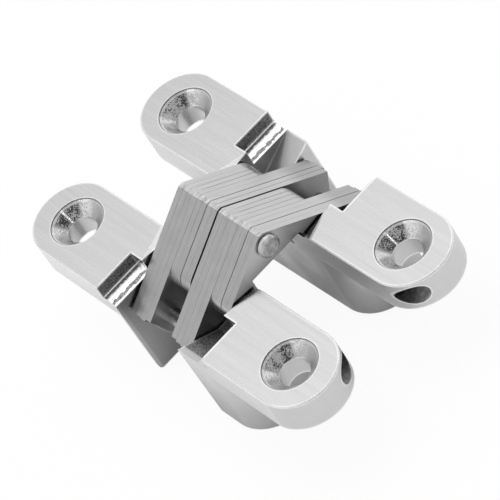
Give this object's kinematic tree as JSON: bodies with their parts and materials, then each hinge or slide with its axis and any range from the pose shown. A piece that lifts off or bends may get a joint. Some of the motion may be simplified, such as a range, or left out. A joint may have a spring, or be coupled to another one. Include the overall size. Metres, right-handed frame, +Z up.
{
  "type": "concealed invisible door hinge",
  "caption": "Concealed door hinge, open flat: round-ended mortise leaves with countersunk screw holes, joined by crossed packs of link plates on a riveted centre pin.",
  "frame": {"origin": "under the middle of the open hinge, in the plane of the two leaves' undersides", "axes": "+X from the front leaf to the rear leaf, +Y along the leaves, +Z up out of the leaf faces"},
  "size_m": [0.0336, 0.06, 0.0224],
  "materials": {
    "leaf_plating": "satin silver plating on a zinc die casting",
    "link_steel": "brushed steel plate with sheared edges",
    "pin_steel": "ground steel"
  },
  "bodies": {
    "front_leaf": {"front_leaf": "leaf_plating", "front_pivot_pin": "pin_steel"},
    "first_link": {"link_plate_2_1": "link_steel", "link_plate_2_2": "link_steel", "link_plate_2_3": "link_steel", "link_plate_2_4": "link_steel", "link_plate_4_1": "link_steel", "link_plate_4_2": "link_steel", "link_plate_4_3": "link_steel", "link_plate_4_4": "link_steel", "centre_pin": "pin_steel", "rear_slide_pin": "pin_steel"},
    "second_link": {"link_plate_1_1": "link_steel", "link_plate_1_2": "link_steel", "link_plate_1_3": "link_steel", "link_plate_1_4": "link_steel", "link_plate_3_1": "link_steel", "link_plate_3_2": "link_steel", "link_plate_3_3": "link_steel", "link_plate_3_4": "link_steel", "front_slide_pin": "pin_steel"},
    "rear_leaf": {"rear_leaf": "leaf_plating", "rear_pivot_pin": "pin_steel"}
  },
  "joints": [
    {"name": "first_link_turn", "type": "hinge", "parent": "front_leaf", "child": "first_link", "pos_m": [-0.00656, 0, 0.01495], "axis": [0, -1, 0], "range_deg": [0, 116]},
    {"name": "second_link_turn", "type": "hinge", "parent": "first_link", "child": "second_link", "pos_m": [0, 0, 0.0203], "axis": [0, -1, 0], "range_deg": [-52, 0]},
    {"name": "rear_leaf_turn", "type": "hinge", "parent": "second_link", "child": "rear_leaf", "pos_m": [0.00656, 0, 0.01495], "axis": [0, -1, 0], "range_deg": [0, 116]}
  ],
  "couplings": [
    {"joint": "second_link_turn", "follows": "first_link_turn", "ratio": -0.44828},
    {"joint": "rear_leaf_turn", "follows": "first_link_turn", "ratio": 1}
  ]
}
